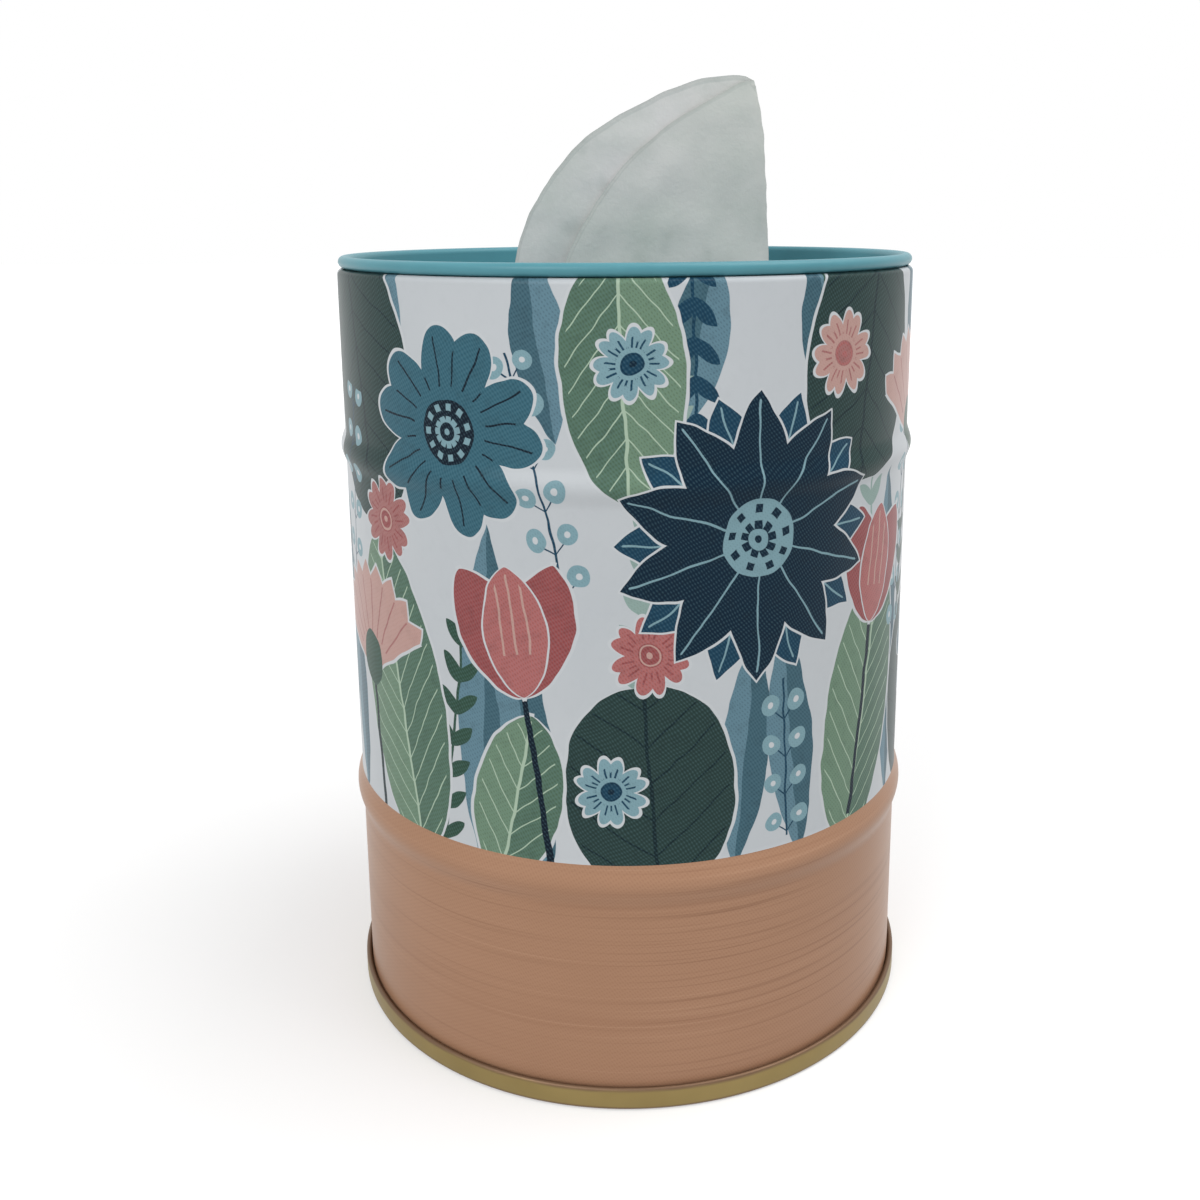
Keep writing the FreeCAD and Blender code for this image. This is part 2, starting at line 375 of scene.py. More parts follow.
def dark_leaf(colour, wall, at, length, width):
    """A broad dark leaf with a midrib and slanting side veins."""
    slimness = 0.42
    vein_spacing = 5.0
    vein_slant = 0.8
    vein_half_width = 0.14
    rib_half_width = 0.24
    bare_edge = 0.6
    across, along = spot(wall, *at)
    side = abs(across)
    inside = leaf_shape(side, along, length, width, slimness)
    colour = colour.printed(paper_white, inside + keyline)
    colour = colour.printed(bottle_green, inside)
    veins = vein_half_width - (along - side * vein_slant).zigzag(vein_spacing / 2)
    veins = veins.most(rib_half_width - side)
    return colour.printed(deep_green, veins.least(inside - bare_edge))


def two_tone_leaf(colour, wall, at, length, width):
    """A leaf with one half darker than the other, and a pale midrib and side veins."""
    slimness = 0.62
    vein_spacing = 3.4
    vein_slant = 1.2
    vein_half_width = 0.12
    rib_half_width = 0.2
    bare_edge = 0.7
    across, along = spot(wall, *at)
    side = abs(across)
    inside = leaf_shape(side, along, length, width, slimness)
    colour = colour.printed(paper_white, inside + keyline)
    colour = colour.printed(sage, inside)
    colour = colour.printed(mid_sage, inside.least(across))
    veins = vein_half_width - (along - side * vein_slant).zigzag(vein_spacing / 2)
    veins = veins.most(rib_half_width - side)
    return colour.printed(pale_sage, veins.least(inside - bare_edge))


def berries(colour, wall, at, length):
    """A stem with round berries on short stalks at both sides."""
    spacing = 5.4
    berry = 1.35
    berry_out = berry * 1.5
    stalk_out = berry * 1.2
    stalk_start = spacing * 0.1
    shine = berry * 0.3
    stem_half_width = 0.16
    stalk_half_width = 0.13
    across, along = spot(wall, *at)
    side = abs(across)
    step = along.math("WRAP", along, spacing, 0.0)
    reach, _ = polar(side - berry_out, step - spacing / 2)
    within = along.least(length - along)
    stalks = (stalk_half_width - abs(side - step + stalk_start)).least(stalk_out - side)
    stem = (stem_half_width - side).most(stalks)
    colour = colour.printed(dusk_blue, stem.least(within))
    colour = colour.printed(sky_blue, (berry - reach).least(within))
    return colour.printed(paper_white, (shine - reach).least(within))


def tulip(colour, wall, at, tall):
    """A cup of one middle petal over two outer ones, on a stem."""
    width = tall * 0.8
    outer_width = width * 0.62
    inner_width = width * 0.6
    inner_tall = tall * 0.94
    inner_keyline = keyline * 0.6
    slimness = 0.7
    lean_cosine = 0.93
    lean_sine = 0.37
    stem_length = 27
    stem_half_width = 0.4
    stem_overlap = 0.5
    stripe_half_width = 0.16
    stripe_spacing = 1.8
    bare_edge = 0.9
    stripe_foot = tall * 0.3
    across, along = spot(wall, *at)
    side = abs(across)
    stem = (stem_half_width - side).least(along + stem_length).least(stem_overlap - along)
    colour = colour.printed(deep_navy, stem)
    outer_across = side * lean_cosine - along * lean_sine
    outer_along = side * lean_sine + along * lean_cosine
    outer = leaf_shape(abs(outer_across), outer_along, tall, outer_width, slimness)
    colour = colour.printed(paper_white, outer + keyline)
    colour = colour.printed(deep_coral, outer)
    inner = leaf_shape(side, along, inner_tall, inner_width, slimness)
    colour = colour.printed(paper_white, inner + inner_keyline)
    colour = colour.printed(coral, inner)
    stripes = stripe_half_width - across.zigzag(stripe_spacing / 2)
    return colour.printed(blush, stripes.least(inner - bare_edge).least(along - stripe_foot))


def fan_flower(colour, wall, at, radius):
    """A flower seen from the side, its petals spread like a fan with a toothed edge."""
    spread = 1.15
    tooth_turn = 0.13
    tooth_depth = radius * 0.9
    ray_half_width = 0.13
    ray_start = radius * 0.35
    bare_edge = 0.5
    stem_half_width = 0.4
    stem_length = radius * 1.6
    cup_sink = radius * 0.12
    cup_tall = radius * 0.5
    cup_width = radius * 0.4
    cup_slimness = 0.6
    across, along = spot(wall, *at)
    reach, turn = polar(across, along)
    side = abs(across)
    stem = (stem_half_width - side).least(0.0 - along).least(along + stem_length)
    colour = colour.printed(deep_green, stem)
    teeth = turn.zigzag(tooth_turn) * tooth_depth
    edge = (radius - teeth - reach).least((spread - abs(turn)) * reach)
    colour = colour.printed(paper_white, edge + keyline)
    colour = colour.printed(blush, edge)
    rays = ray_half_width - (turn + tooth_turn).zigzag(tooth_turn) * reach
    colour = colour.printed(rose, rays.least(reach - ray_start).least(edge - bare_edge))
    cup = leaf_shape(side, along + cup_sink, cup_tall, cup_width, cup_slimness)
    return colour.printed(deep_sage, cup)


def heart_flower(colour, wall, at, radius, petals, ink, line, heart):
    """An open flower of heart-shaped petals with fine rays."""
    petal_turn = math.pi / petals
    lobe_depth = radius * 0.2
    petal_reach = radius * 0.82
    ray_half_width = 0.12
    ray_start = radius * 0.42
    bare_edge = 1.2
    disc = radius * 0.3
    seeded = radius * 0.27
    seed_half_width = 0.42
    seed_ring = 0.8
    seed_turn = math.pi / 11
    across, along = spot(wall, *at)
    reach, turn = polar(across, along)
    share = turn.zigzag(petal_turn) * (petals / math.pi)
    lobes = share.math("SINE", share * math.pi) * lobe_depth - share * share * lobe_depth
    edge = lobes + petal_reach - reach
    colour = colour.printed(paper_white, edge + keyline)
    colour = colour.printed(ink, edge)
    rays = (ray_half_width - turn.zigzag(petal_turn / 4) * reach).least(edge - bare_edge)
    colour = colour.printed(line, rays.least(reach - ray_start))
    colour = colour.printed(line, disc - reach)
    seeds = seed_half_width - reach.zigzag(seed_ring).most(turn.zigzag(seed_turn) * reach)
    return colour.printed(heart, seeds.least(seeded - reach))


def star_bloom(colour, wall, at, radius, petals):
    """A large bloom of two rows of pointed petals round a seeded middle."""
    petal_turn = math.pi / petals
    petal_breadth = 2.6 * math.tan(petal_turn) / radius
    petal_keyline = keyline * 0.7
    line_half_width = 0.13
    bare_edge = 0.8
    disc = radius * 0.27
    seeded = radius * 0.25
    seed_half_width = 0.5
    seed_ring = 0.95
    seed_turn = math.pi / 9
    across, along = spot(wall, *at)
    reach, turn = polar(across, along)
    swing = turn.zigzag(petal_turn)
    for swung, petal_ink in ((petal_turn - swing, dusk_blue), (swing, navy)):
        forward = reach * reach.math("COSINE", swung)
        sideways = reach * reach.math("SINE", swung)
        edge = forward * (radius - forward) * petal_breadth - sideways
        colour = colour.printed(paper_white, edge + petal_keyline)
        colour = colour.printed(petal_ink, edge)
        colour = colour.printed(sky_blue, (line_half_width - sideways).least(edge - bare_edge))
    colour = colour.printed(sky_blue, disc - reach)
    seeds = seed_half_width - reach.zigzag(seed_ring).most(turn.zigzag(seed_turn) * reach)
    return colour.printed(navy, seeds.least(seeded - reach))


# Each motif stands at (millimetres round the tin from its front, millimetres up, degrees of lean).
colour = place.cloudy(scale=60.0, detail=2.0).between(paper_white, clouded_white)
for at, length, width in (
    ((-58, 33, 6), 46, 8),
    ((-48, 33, -5), 36, 7),
    ((-20, 33, 3), 46, 8),
    ((-10, 33, -9), 38, 7),
    ((14, 33, 5), 32, 7),
    ((24, 33, -6), 33, 7),
    ((46, 33, -4), 50, 8),
    ((54, 33, 8), 36, 7),
    ((-12, 113, 171), 24, 7),
    ((11, 113, 190), 23, 7),
    ((25, 113, 174), 22, 7),
    ((52, 113, 172), 26, 7),
    ((-33, 113, 186), 24, 7),
):
    colour = motif(colour, blade, at, length, width)
for at, length, shade in (
    ((-34, 66, -4), 34, grey_green),
    ((1, 58, 7), 40, grey_green),
    ((40, 50, -5), 38, grey_green),
    ((-63, 60, 5), 38, grey_green),
    ((29, 112, 182), 26, deep_sage),
    ((-26, 34, 8), 34, deep_sage),
    ((8, 112, 178), 24, dusk_blue),
    ((52, 34, -2), 40, deep_sage),
):
    colour = motif(colour, sprig, at, length, shade)
for at, length, width in (
    ((4, 31, -4), 28, 22),
    ((-46, 114, 168), 38, 25),
    ((60, 31, -8), 32, 23),
    ((38, 114, 188), 32, 24),
):
    colour = motif(colour, dark_leaf, at, length, width)
for at, length, width in (
    ((-30, 31, -11), 45, 18),
    ((33, 31, 11), 41, 17),
    ((-1, 114, 177), 32, 15),
    ((63, 114, 172), 36, 16),
    ((-17, 31, 12), 24, 12),
):
    colour = motif(colour, two_tone_leaf, at, length, width)
for at, length in (((-7, 70, -14), 31), ((-50, 58, 8), 36), ((47, 58, 7), 32), ((22, 36, -3), 22)):
    colour = motif(colour, berries, at, length)
for at, tall in (((-13, 57, -8), 18), ((38, 62, 9), 17), ((-62, 82, -6), 17)):
    colour = motif(colour, tulip, at, tall)
for at, radius in (((-42, 54, -6), 16), ((53, 85, 8), 16)):
    colour = motif(colour, fan_flower, at, radius)
for at, radius, petals, shade, ray, seed in (
    ((-23, 90, 8), 13.5, 5, teal_blue, deep_navy, sky_blue),
    ((63, 54, 0), 11.5, 5, teal_blue, deep_navy, sky_blue),
    ((-36, 77, 10), 5.6, 6, rose, deep_coral, blush),
    ((3, 63, 0), 5.2, 6, coral, deep_coral, blush),
    ((30, 99, 20), 5.4, 6, blush, rose, coral),
    ((-59, 71, 0), 5.2, 6, coral, deep_coral, blush),
    ((1, 99, 15), 4.6, 6, sky_blue, dusk_blue, navy),
    ((-2, 45, 0), 4.6, 6, sky_blue, dusk_blue, navy),
):
    colour = motif(colour, heart_flower, at, radius, petals, shade, ray, seed)
bloom_at = (17, 77, 0)
bloom_radius = 18.5
bloom_petals = 10
colour = motif(colour, star_bloom, bloom_at, bloom_radius, bloom_petals)


def line_screen(around, height):
    """The printer's screen, from -1 to 1: two sets of fine lines that cross, one finer than the other."""
    fine_round = 13.5
    fine_up = 9.5
    fine_share = 0.6
    coarse_round = 5.3
    coarse_up = 10.3
    fine = around.math("SINE", around * fine_round + height * fine_up)
    coarse = around.math("SINE", around * coarse_round - height * coarse_up)
    return fine * fine_share + coarse * (1 - fine_share)


screen_light = srgb(88, 118, 126)
screen_light_strength = 0.24
screen_dark = srgb(8, 16, 22)
screen_dark_strength = 0.3
grain_dark = srgb(20, 26, 30)
screen = line_screen(around, height)
grain = place.cloudy(scale=620.0, detail=3.0, roughness=0.65)
tone = place.node("ShaderNodeRGBToBW", {}, {0: colour})
covered = tone.below(level=0.42, gain=4.0).most(0.0).least(1.0)
colour = colour.mixed(screen_light, screen * covered * screen_light_strength)
colour = colour.mixed(screen_dark, screen * covered * -screen_dark_strength)
colour = colour.mixed(grain_dark, grain.above(level=0.5, gain=covered.rising(start=0.1, by=0.7)))


def seam_margin(colour, bearing):
    """A colour with the bare edge that the print leaves along the lap, and the line of the lap."""
    margin_half_width = 1.1
    line_half_width = 0.14
    bare_edge = srgb(178, 176, 170)
    lap_line = srgb(70, 66, 62)
    off_seam = (math.pi - abs(bearing)) * print_radius
    colour = colour.printed(bare_edge, margin_half_width - off_seam)
    return colour.printed(lap_line, line_half_width - off_seam)


feed(printed_shader, base_color=seam_margin(colour, bearing))

# Below the print the wall is terracotta, printed to look brushed on.
terracotta = srgb(155, 117, 91)
light_terracotta = srgb(169, 130, 104)
hair_brown = srgb(128, 92, 70)
stroke_brown = srgb(142, 103, 79)
bare_tan = srgb(182, 144, 117)
screen_brown = srgb(122, 86, 66)
speck_brown = srgb(92, 64, 48)
hair_patch_level = 0.34
hair_gain = 13.0
speck_radius = 0.075
speck_gain = 60.0
terracotta_tin, terracotta_shader, place = new_finish("terracotta_brushed_print")
bearing, height = wall_place(place)
hairs = place.brushed(cells_across=18.0, cells_up=2600.0, detail=3.0, roughness=0.6)
strokes = place.brushed(cells_across=14.0, cells_up=420.0, detail=3.0)
patches = place.cloudy(scale=34.0, detail=2.0)
colour = patches.between(terracotta, light_terracotta)
colour = colour.mixed(hair_brown, hairs.above(level=0.55, gain=patches - hair_patch_level) * hair_gain)
colour = colour.mixed(stroke_brown, strokes.above(level=0.55, gain=2.1))
colour = colour.mixed(bare_tan, hairs.below(level=0.42, gain=2.0))
screen = line_screen(bearing * print_radius, height)
colour = colour.mixed(screen_brown, screen.rising(start=0.03, by=0.2))
specks = place.node("ShaderNodeTexVoronoi", {}, {"Vector": place, "Scale": 160.0})
rare = place.cloudy(scale=90.0, detail=2.0).above(level=0.66, gain=0.4)
colour = colour.mixed(speck_brown, (speck_radius - specks).least(rare) * speck_gain)
feed(terracotta_shader, base_color=seam_margin(colour, bearing))
for shader, gloss in ((printed_shader, 0.1), (terracotta_shader, 0.16)):
    shader.inputs["Roughness"].default_value = 0.32
    shader.inputs["Specular IOR Level"].default_value = gloss

dull_tin = srgb(172, 170, 160)
bright_tin = srgb(206, 204, 196)
bare_tin, bare_shader, place = new_finish("bare_tinplate_inside")
rolling_lines = place.brushed(cells_across=40.0, cells_up=900.0, detail=3.0)
bare_colour = rolling_lines.between(dull_tin, bright_tin)
feed(bare_shader, base_color=bare_colour, roughness=rolling_lines.rising(start=0.3, by=0.15))
bare_shader.inputs["Metallic"].default_value = 0.9

for finish in (printed_tin, terracotta_tin, bare_tin):
    can_body.data.materials.append(finish)
for face in can_body.data.polygons:
    face.material_index = 1 if face.center.z < print_foot else 0
thicken(can_body, tinplate, inside_slot=2)

# Inside, the strip's end laps over the joint.
lap_half_width = 0.0026
lap_setback = 0.006


def on_lap(face):
    """Whether a face is on the inner wall at the back, between the seam below and the curl above."""
    inward = face.normal.x * face.center.x + face.normal.y * face.center.y < 0
    within = lap_setback < face.center.z < body_top - lap_setback
    return inward and within and face.center.y > 0 and abs(face.center.x) < lap_half_width


bpy.ops.object.mode_set(mode="EDIT")
bpy.ops.mesh.select_all(action="DESELECT")
bpy.ops.mesh.select_mode(type="FACE")
bpy.ops.object.mode_set(mode="OBJECT")
for face in can_body.data.polygons:
    face.select = on_lap(face)
bpy.ops.object.mode_set(mode="EDIT")
bpy.ops.mesh.extrude_region_shrink_fatten(TRANSFORM_OT_shrink_fatten={"value": tinplate})
bpy.ops.object.mode_set(mode="OBJECT")
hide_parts("can_body")
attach(can_body, "tin")

# Bottom end.
# A stamped disc of gold-lacquered tinplate with a stepped panel, a chuck wall and a base ring.
# Its rim is folded over the hooked foot of the can body in a double seam, on which the tin stands.
seam_top = 0.0032
seam_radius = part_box("bottom_end")[1].x
seam_wall = seam_radius - tinplate / 2
chuck_wall = 0.0408
panel_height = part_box("bottom_end")[1].z - tinplate / 2
step_radius = 0.036
step_drop = 0.0005
step_width = 0.001
step_ease = 0.0003
step_ease_drop = 0.0001
base_inner_radius = 0.00032
corner_inner_radius = 0.0007
base_bend = base_inner_radius + tinplate / 2
corner_bend = corner_inner_radius + tinplate / 2
hook_bend = 0.00028
hook_foot = 0.0012
base_bend_height = tinplate / 2 + base_bend
chuck_top = panel_height - step_drop - corner_bend
hook_top = seam_top - tinplate / 2 - hook_bend
step_foot = panel_height - step_drop
end_outline = [
    (0.0, panel_height),
    (step_radius, panel_height),
    (step_radius + step_ease, panel_height - step_ease_drop),
    (step_radius + step_width - step_ease, step_foot + step_ease_drop),
    (step_radius + step_width, step_foot),
]
end_outline += arc_points((chuck_wall - corner_bend, chuck_top), corner_bend, 90, 0)
end_outline += arc_points((chuck_wall + base_bend, base_bend_height), base_bend, 180, 270)
end_outline += arc_points((seam_wall - base_bend, base_bend_height), base_bend, 270, 360)
end_outline += arc_points((seam_wall - hook_bend, hook_top), hook_bend, 0, 180)
end_outline += [(seam_wall - 2 * hook_bend, hook_foot)]
bottom_end = spin_sheet("bottom_end_shell", end_outline)

dull_gold = srgb(131, 113, 69)
bright_gold = srgb(155, 136, 87)
# The seam ring is made browner along the top of its outer edge and along its foot.
seam_edge_brown = srgb(112, 88, 68)
seam_edge_above = 2.85
seam_edge_below = 0.5
seam_edge_outside = 41.2
seam_edge_ragged_top = 0.5
seam_edge_ragged_foot = 0.3
seam_edge_gain = 2.4
gold_lacquer, gold_shader, place = new_finish("gold_lacquered_tinplate")
gold_height = place.part("Z") * millimetres
gold_plan = place.node("ShaderNodeVectorMath", {"operation": "MULTIPLY"}, {0: place, 1: (1, 1, 0)})
gold_radius = place.node("ShaderNodeVectorMath", {"operation": "LENGTH"}, {0: gold_plan}, "Value")
gold_radius = gold_radius * millimetres
gold_noise = place.cloudy(scale=130.0, detail=3.0)
gold_colour = gold_noise.between(dull_gold, bright_gold)
seam_edge_top = gold_height - seam_edge_above + gold_noise * seam_edge_ragged_top
seam_edge_foot = seam_edge_below - gold_height + gold_noise * seam_edge_ragged_foot
seam_edges = seam_edge_top.least(gold_radius - seam_edge_outside).most(seam_edge_foot)
gold_colour = gold_colour.mixed(seam_edge_brown, seam_edges * seam_edge_gain)
feed(gold_shader, base_color=gold_colour, roughness=gold_noise.rising(start=0.34, by=0.2))
gold_shader.inputs["Metallic"].default_value = 0.55
gold_shader.inputs["Specular IOR Level"].default_value = 0.3

bottom_end.data.materials.append(gold_lacquer)
thicken(bottom_end, tinplate)
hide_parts("bottom_end")
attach(bottom_end, "tin")

# Tissue pack.
# Twenty-four soft paper tissues, each folded once across the middle and stood in the tin on its fold.
# They are bent to the round of the wall, one inside the other, with their cut edges up.
paper = 0.00005
tissue_side = 0.18
tissue_count = 24
tissue_pitch = 0.00032
leaf_offset = 0.00007
fold_sharpness = 24
pack_inset = 0.0001
pack_foot, pack_top = (corner.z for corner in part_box("tissue_pack"))
pack_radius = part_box("tissue_pack")[1].x - pack_inset
pack_columns = 64
pack_rows = 20
cut_unevenness = 0.0009
uneven_cells = (3, 1.7, 0)
top_wave = 0.0005
wave_cells = (4, 1.5, 8.0)
paper_crease_angle = math.radians(60)
none_in_front = (2.0, 2.0)


def lay_paper(name, columns, rows, shape, in_front=none_in_front):
    """A grid of paper laid out by a shape that gives the place for shares along it and across it.

    The stretch of it that ends up in front is marked, and so is how near each point is to a cut edge.
    """
    bpy.ops.object.select_all(action="DESELECT")
    bpy.ops.mesh.primitive_grid_add(x_subdivisions=columns, y_subdivisions=rows, size=1.0)
    sheet = bpy.context.object
    sheet.name = name
    to_edge = []
    front_leaf = []
    for vertex in sheet.data.vertices:
        along, across = vertex.co.x + 0.5, vertex.co.y + 0.5
        to_edge.append(abs(2 * across - 1))
        front_leaf.append(1.0 if in_front[0] <= along <= in_front[1] else 0.0)
        vertex.co = shape(along, across)
    for mark, values in (("to_edge", to_edge), ("front_leaf", front_leaf)):
        sheet.data.attributes.new(mark, "FLOAT", "POINT").data.foreach_set("value", values)
    return sheet


def finish_paper(sheet):
    """Gives laid-out paper its thickness and smooth shading."""
    bpy.context.view_layer.objects.active = sheet
    ply = sheet.modifiers.new("ply", "SOLIDIFY")
    ply.thickness = paper
    ply.offset = 0.0
    bpy.ops.object.modifier_apply(modifier=ply.name)
    bpy.ops.object.shade_smooth_by_angle(angle=paper_crease_angle)


def clamped(share):
    """A share kept from 0 to 1."""
    return max(0.0, min(1.0, share))


def crumpled(first, second, cells):
    """Smooth noise from -1 to 1 at two measures of a place: cells for each measure, then a seed."""
    return noise.noise(Vector((first * cells[0], second * cells[1], cells[2])))


def folded_leaf(share):
    """Where a share of the paper lies in a tissue folded once: (height share, side of the fold)."""
    up = abs(2 * share - 1)
    side = max(-1.0, min(1.0, (0.5 - share) * fold_sharpness))
    return up, side


def packed_tissue(index):
    """The shape of one tissue of the pack, counted from the wall inwards."""
    radius = pack_radius - index * tissue_pitch

    def shape(along, across):
        bearing = (along - 0.5) * tissue_side / radius
        up, side = folded_leaf(across)
        uneven = cut_unevenness * crumpled(bearing, index, uneven_cells)
        wave = top_wave * up**3 * crumpled(bearing, up, wave_cells)
        at = radius + side * leaf_offset + wave
        tall = pack_foot + up * (pack_top - cut_unevenness - pack_foot + uneven)
        return Vector((at * math.cos(bearing), at * math.sin(bearing), tall))

    return shape


tissue_pack = lay_paper("tissue_pack_paper", pack_columns, pack_rows, packed_tissue(0))
for index in range(1, tissue_count):
    lay_paper("packed_tissue", pack_columns, pack_rows, packed_tissue(index))
    tissue_pack.select_set(True)
    bpy.context.view_layer.objects.active = tissue_pack
    bpy.ops.object.join()
finish_paper(tissue_pack)

shaded_paper = srgb(190, 194, 190)
bright_paper = srgb(209, 207, 207)
blot_grey = srgb(154, 163, 158)
fibre_white = srgb(216, 218, 216)
edge_shade_grey = srgb(150, 160, 158)
front_leaf_shade = srgb(176, 183, 174)
edge_shade_strength = 0.28
front_shade_strength = 0.3
cloud_relief = 2.5
tissue_paper, tissue_shader, place = new_finish("soft_tissue_paper")
cloud = place.cloudy(scale=70.0, detail=4.0, roughness=0.62)
blot = place.cloudy(scale=190.0, detail=2.0)
fibre = place.cloudy(scale=1100.0, detail=3.0, roughness=0.6)
to_edge = place.node("ShaderNodeAttribute", {"attribute_name": "to_edge"}, {}, "Fac")
front_leaf = place.node("ShaderNodeAttribute", {"attribute_name": "front_leaf"}, {}, "Fac")
tissue_colour = cloud.above(level=0.3, gain=2.4).between(shaded_paper, bright_paper)
tissue_colour = tissue_colour.mixed(blot_grey, blot.above(level=0.6, gain=2.2))
tissue_colour = tissue_colour.mixed(fibre_white, fibre.above(level=0.55, gain=1.0))
# Painted shade: a thin grey line along every cut edge of the paper.
tissue_colour = tissue_colour.mixed(edge_shade_grey, to_edge.above(level=0.995, gain=160.0).least(edge_shade_strength))
# Painted shade: the whole front leaf is made darker and greener than the rear leaf.
tissue_colour = tissue_colour.mixed(front_leaf_shade, front_leaf * front_shade_strength)
tissue_bump = place.node(
    "ShaderNodeBump", {}, {"Height": fibre + cloud * cloud_relief, "Strength": 0.3, "Distance": 0.0002}
)
feed(tissue_shader, base_color=tissue_colour, normal=tissue_bump)
tissue_shader.inputs["Roughness"].default_value = 0.95
tissue_shader.inputs["Specular IOR Level"].default_value = 0.2
tissue_pack.data.materials.append(tissue_paper)
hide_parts("tissue_pack")
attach(tissue_pack, "tin")

# Next tissue.
# The innermost tissue of the pack, folded like the rest.
# Its end leaves the round and is tucked between the leaves of the raised one, so that it follows it out.
next_radius = pack_radius - tissue_count * tissue_pitch
next_columns = 150
next_rows = 24
tuck_end = 0.003
tuck_turn = -0.0195
tuck_depth = 0.0037
turn_radius = (next_radius**2 - tuck_turn**2 - tuck_depth**2) / (2 * (next_radius + tuck_depth))
turn_centre = Vector((tuck_turn, tuck_depth + turn_radius))
join_bearing = math.atan2(turn_centre.y, turn_centre.x)
tuck_length = tuck_end - tuck_turn
turn_length = turn_radius * (1.5 * math.pi - join_bearing)


def next_path(run):
    """Place and outward direction at a distance along the next tissue, from its tucked end."""
    if run < tuck_length:
        return Vector((tuck_end - run, tuck_depth)), Vector((0, -1))
    if run < tuck_length + turn_length:
        bearing = -math.pi / 2 - (run - tuck_length) / turn_radius
        outward = Vector((math.cos(bearing), math.sin(bearing)))
        return turn_centre + turn_radius * outward, outward
    bearing = join_bearing - (run - tuck_length - turn_length) / next_radius
    outward = Vector((math.cos(bearing), math.sin(bearing)))
    return next_radius * outward, outward


def next_shape(along, across):
    """The place for shares along the next tissue and across it."""
    at, outward = next_path(along * tissue_side)
    up, side = folded_leaf(across)
    at = at + outward * side * leaf_offset
    return Vector((at.x, at.y, pack_foot + up * (pack_top - pack_foot)))


next_tissue = lay_paper("next_tissue_paper", next_columns, next_rows, next_shape)
finish_paper(next_tissue)
next_tissue.data.materials.append(tissue_paper)
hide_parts("next_tissue")
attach(next_tissue, "tin")

# Lid.
# One drawn dish of teal-enamelled tinplate: a plug wall that fits the mouth, and a rim rolled outwards.
# The slot in its panel is cut out and its edge rolled to a smooth hem for the tissue to slide on.
rim_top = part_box("lid")[1].z
rim_curl = 0.00165
lid_panel_top = 0.09965
plug_radius = 0.0399
corner_radius = 0.0014
lid_panel = lid_panel_top - tinplate / 2
plug_wall = plug_radius - tinplate / 2
lid_corner = corner_radius + tinplate / 2
rim_bend = (rim_curl - tinplate) / 2
rim_centre = (plug_wall + rim_bend, rim_top - rim_curl / 2)
slot_half_length = 0.024
slot_end = 0.0055
punch_depth = 0.004
punch_sides = 48
hem_radius = 0.0005
hem_steps = 96
hem_sides = 16
weld_distance = 5e-6
lid_outline = [(0.0, lid_panel), (slot_half_length + slot_end, lid_panel)]
lid_outline += arc_points((plug_wall - lid_corner, lid_panel + lid_corner), lid_corner, 270, 360)
lid_outline += arc_points(rim_centre, rim_bend, 180, -90)
lid = spin_sheet("lid_dish", lid_outline)

deep_teal = srgb(73, 131, 142)
bright_teal = srgb(83, 142, 153)
teal_enamel, teal_shader, place = new_finish("teal_enamelled_tinplate")
teal_noise = place.cloudy(scale=220.0, detail=3.0)
teal_colour = teal_noise.between(deep_teal, bright_teal)
feed(teal_shader, base_color=teal_colour, roughness=teal_noise.rising(start=0.3, by=0.14))
teal_shader.inputs["Specular IOR Level"].default_value = 0.24


def stretch_to_slot(piece):
    """Pulls the two halves of a round piece apart, to the length of the slot."""
    bpy.ops.object.transform_apply(location=True, rotation=True, scale=True)
    for vertex in piece.data.vertices:
        vertex.co.x += math.copysign(slot_half_length, vertex.co.x)


lid.data.materials.append(teal_enamel)
thicken(lid, tinplate)
bpy.ops.object.select_all(action="DESELECT")
bpy.ops.mesh.primitive_cylinder_add(
    vertices=punch_sides, radius=slot_end, depth=punch_depth, location=(0, 0, lid_panel)
)
slot_punch = bpy.context.object
stretch_to_slot(slot_punch)
bpy.context.view_layer.objects.active = lid
slot_cut = lid.modifiers.new("slot", "BOOLEAN")
slot_cut.operation = "DIFFERENCE"
slot_cut.solver = "EXACT"
slot_cut.object = slot_punch
bpy.ops.object.modifier_apply(modifier=slot_cut.name)
bpy.data.objects.remove(slot_punch)
bpy.ops.object.mode_set(mode="EDIT")
bpy.ops.mesh.select_mode(type="VERT")
bpy.ops.mesh.select_all(action="SELECT")
bpy.ops.mesh.remove_doubles(threshold=weld_distance)
bpy.ops.mesh.dissolve_degenerate(threshold=weld_distance)
bpy.ops.object.mode_set(mode="OBJECT")
bpy.ops.object.select_all(action="DESELECT")
bpy.ops.mesh.primitive_torus_add(
    major_radius=slot_end,
    minor_radius=hem_radius,
    major_segments=hem_steps,
    minor_segments=hem_sides,
    location=(0, 0, lid_panel),
)
slot_hem = bpy.context.object
stretch_to_slot(slot_hem)
slot_hem.data.materials.append(teal_enamel)
lid.select_set(True)
bpy.context.view_layer.objects.active = lid
bpy.ops.object.join()
bpy.ops.object.shade_smooth_by_angle(angle=crease_angle)
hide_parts("lid")
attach(lid, "lid")

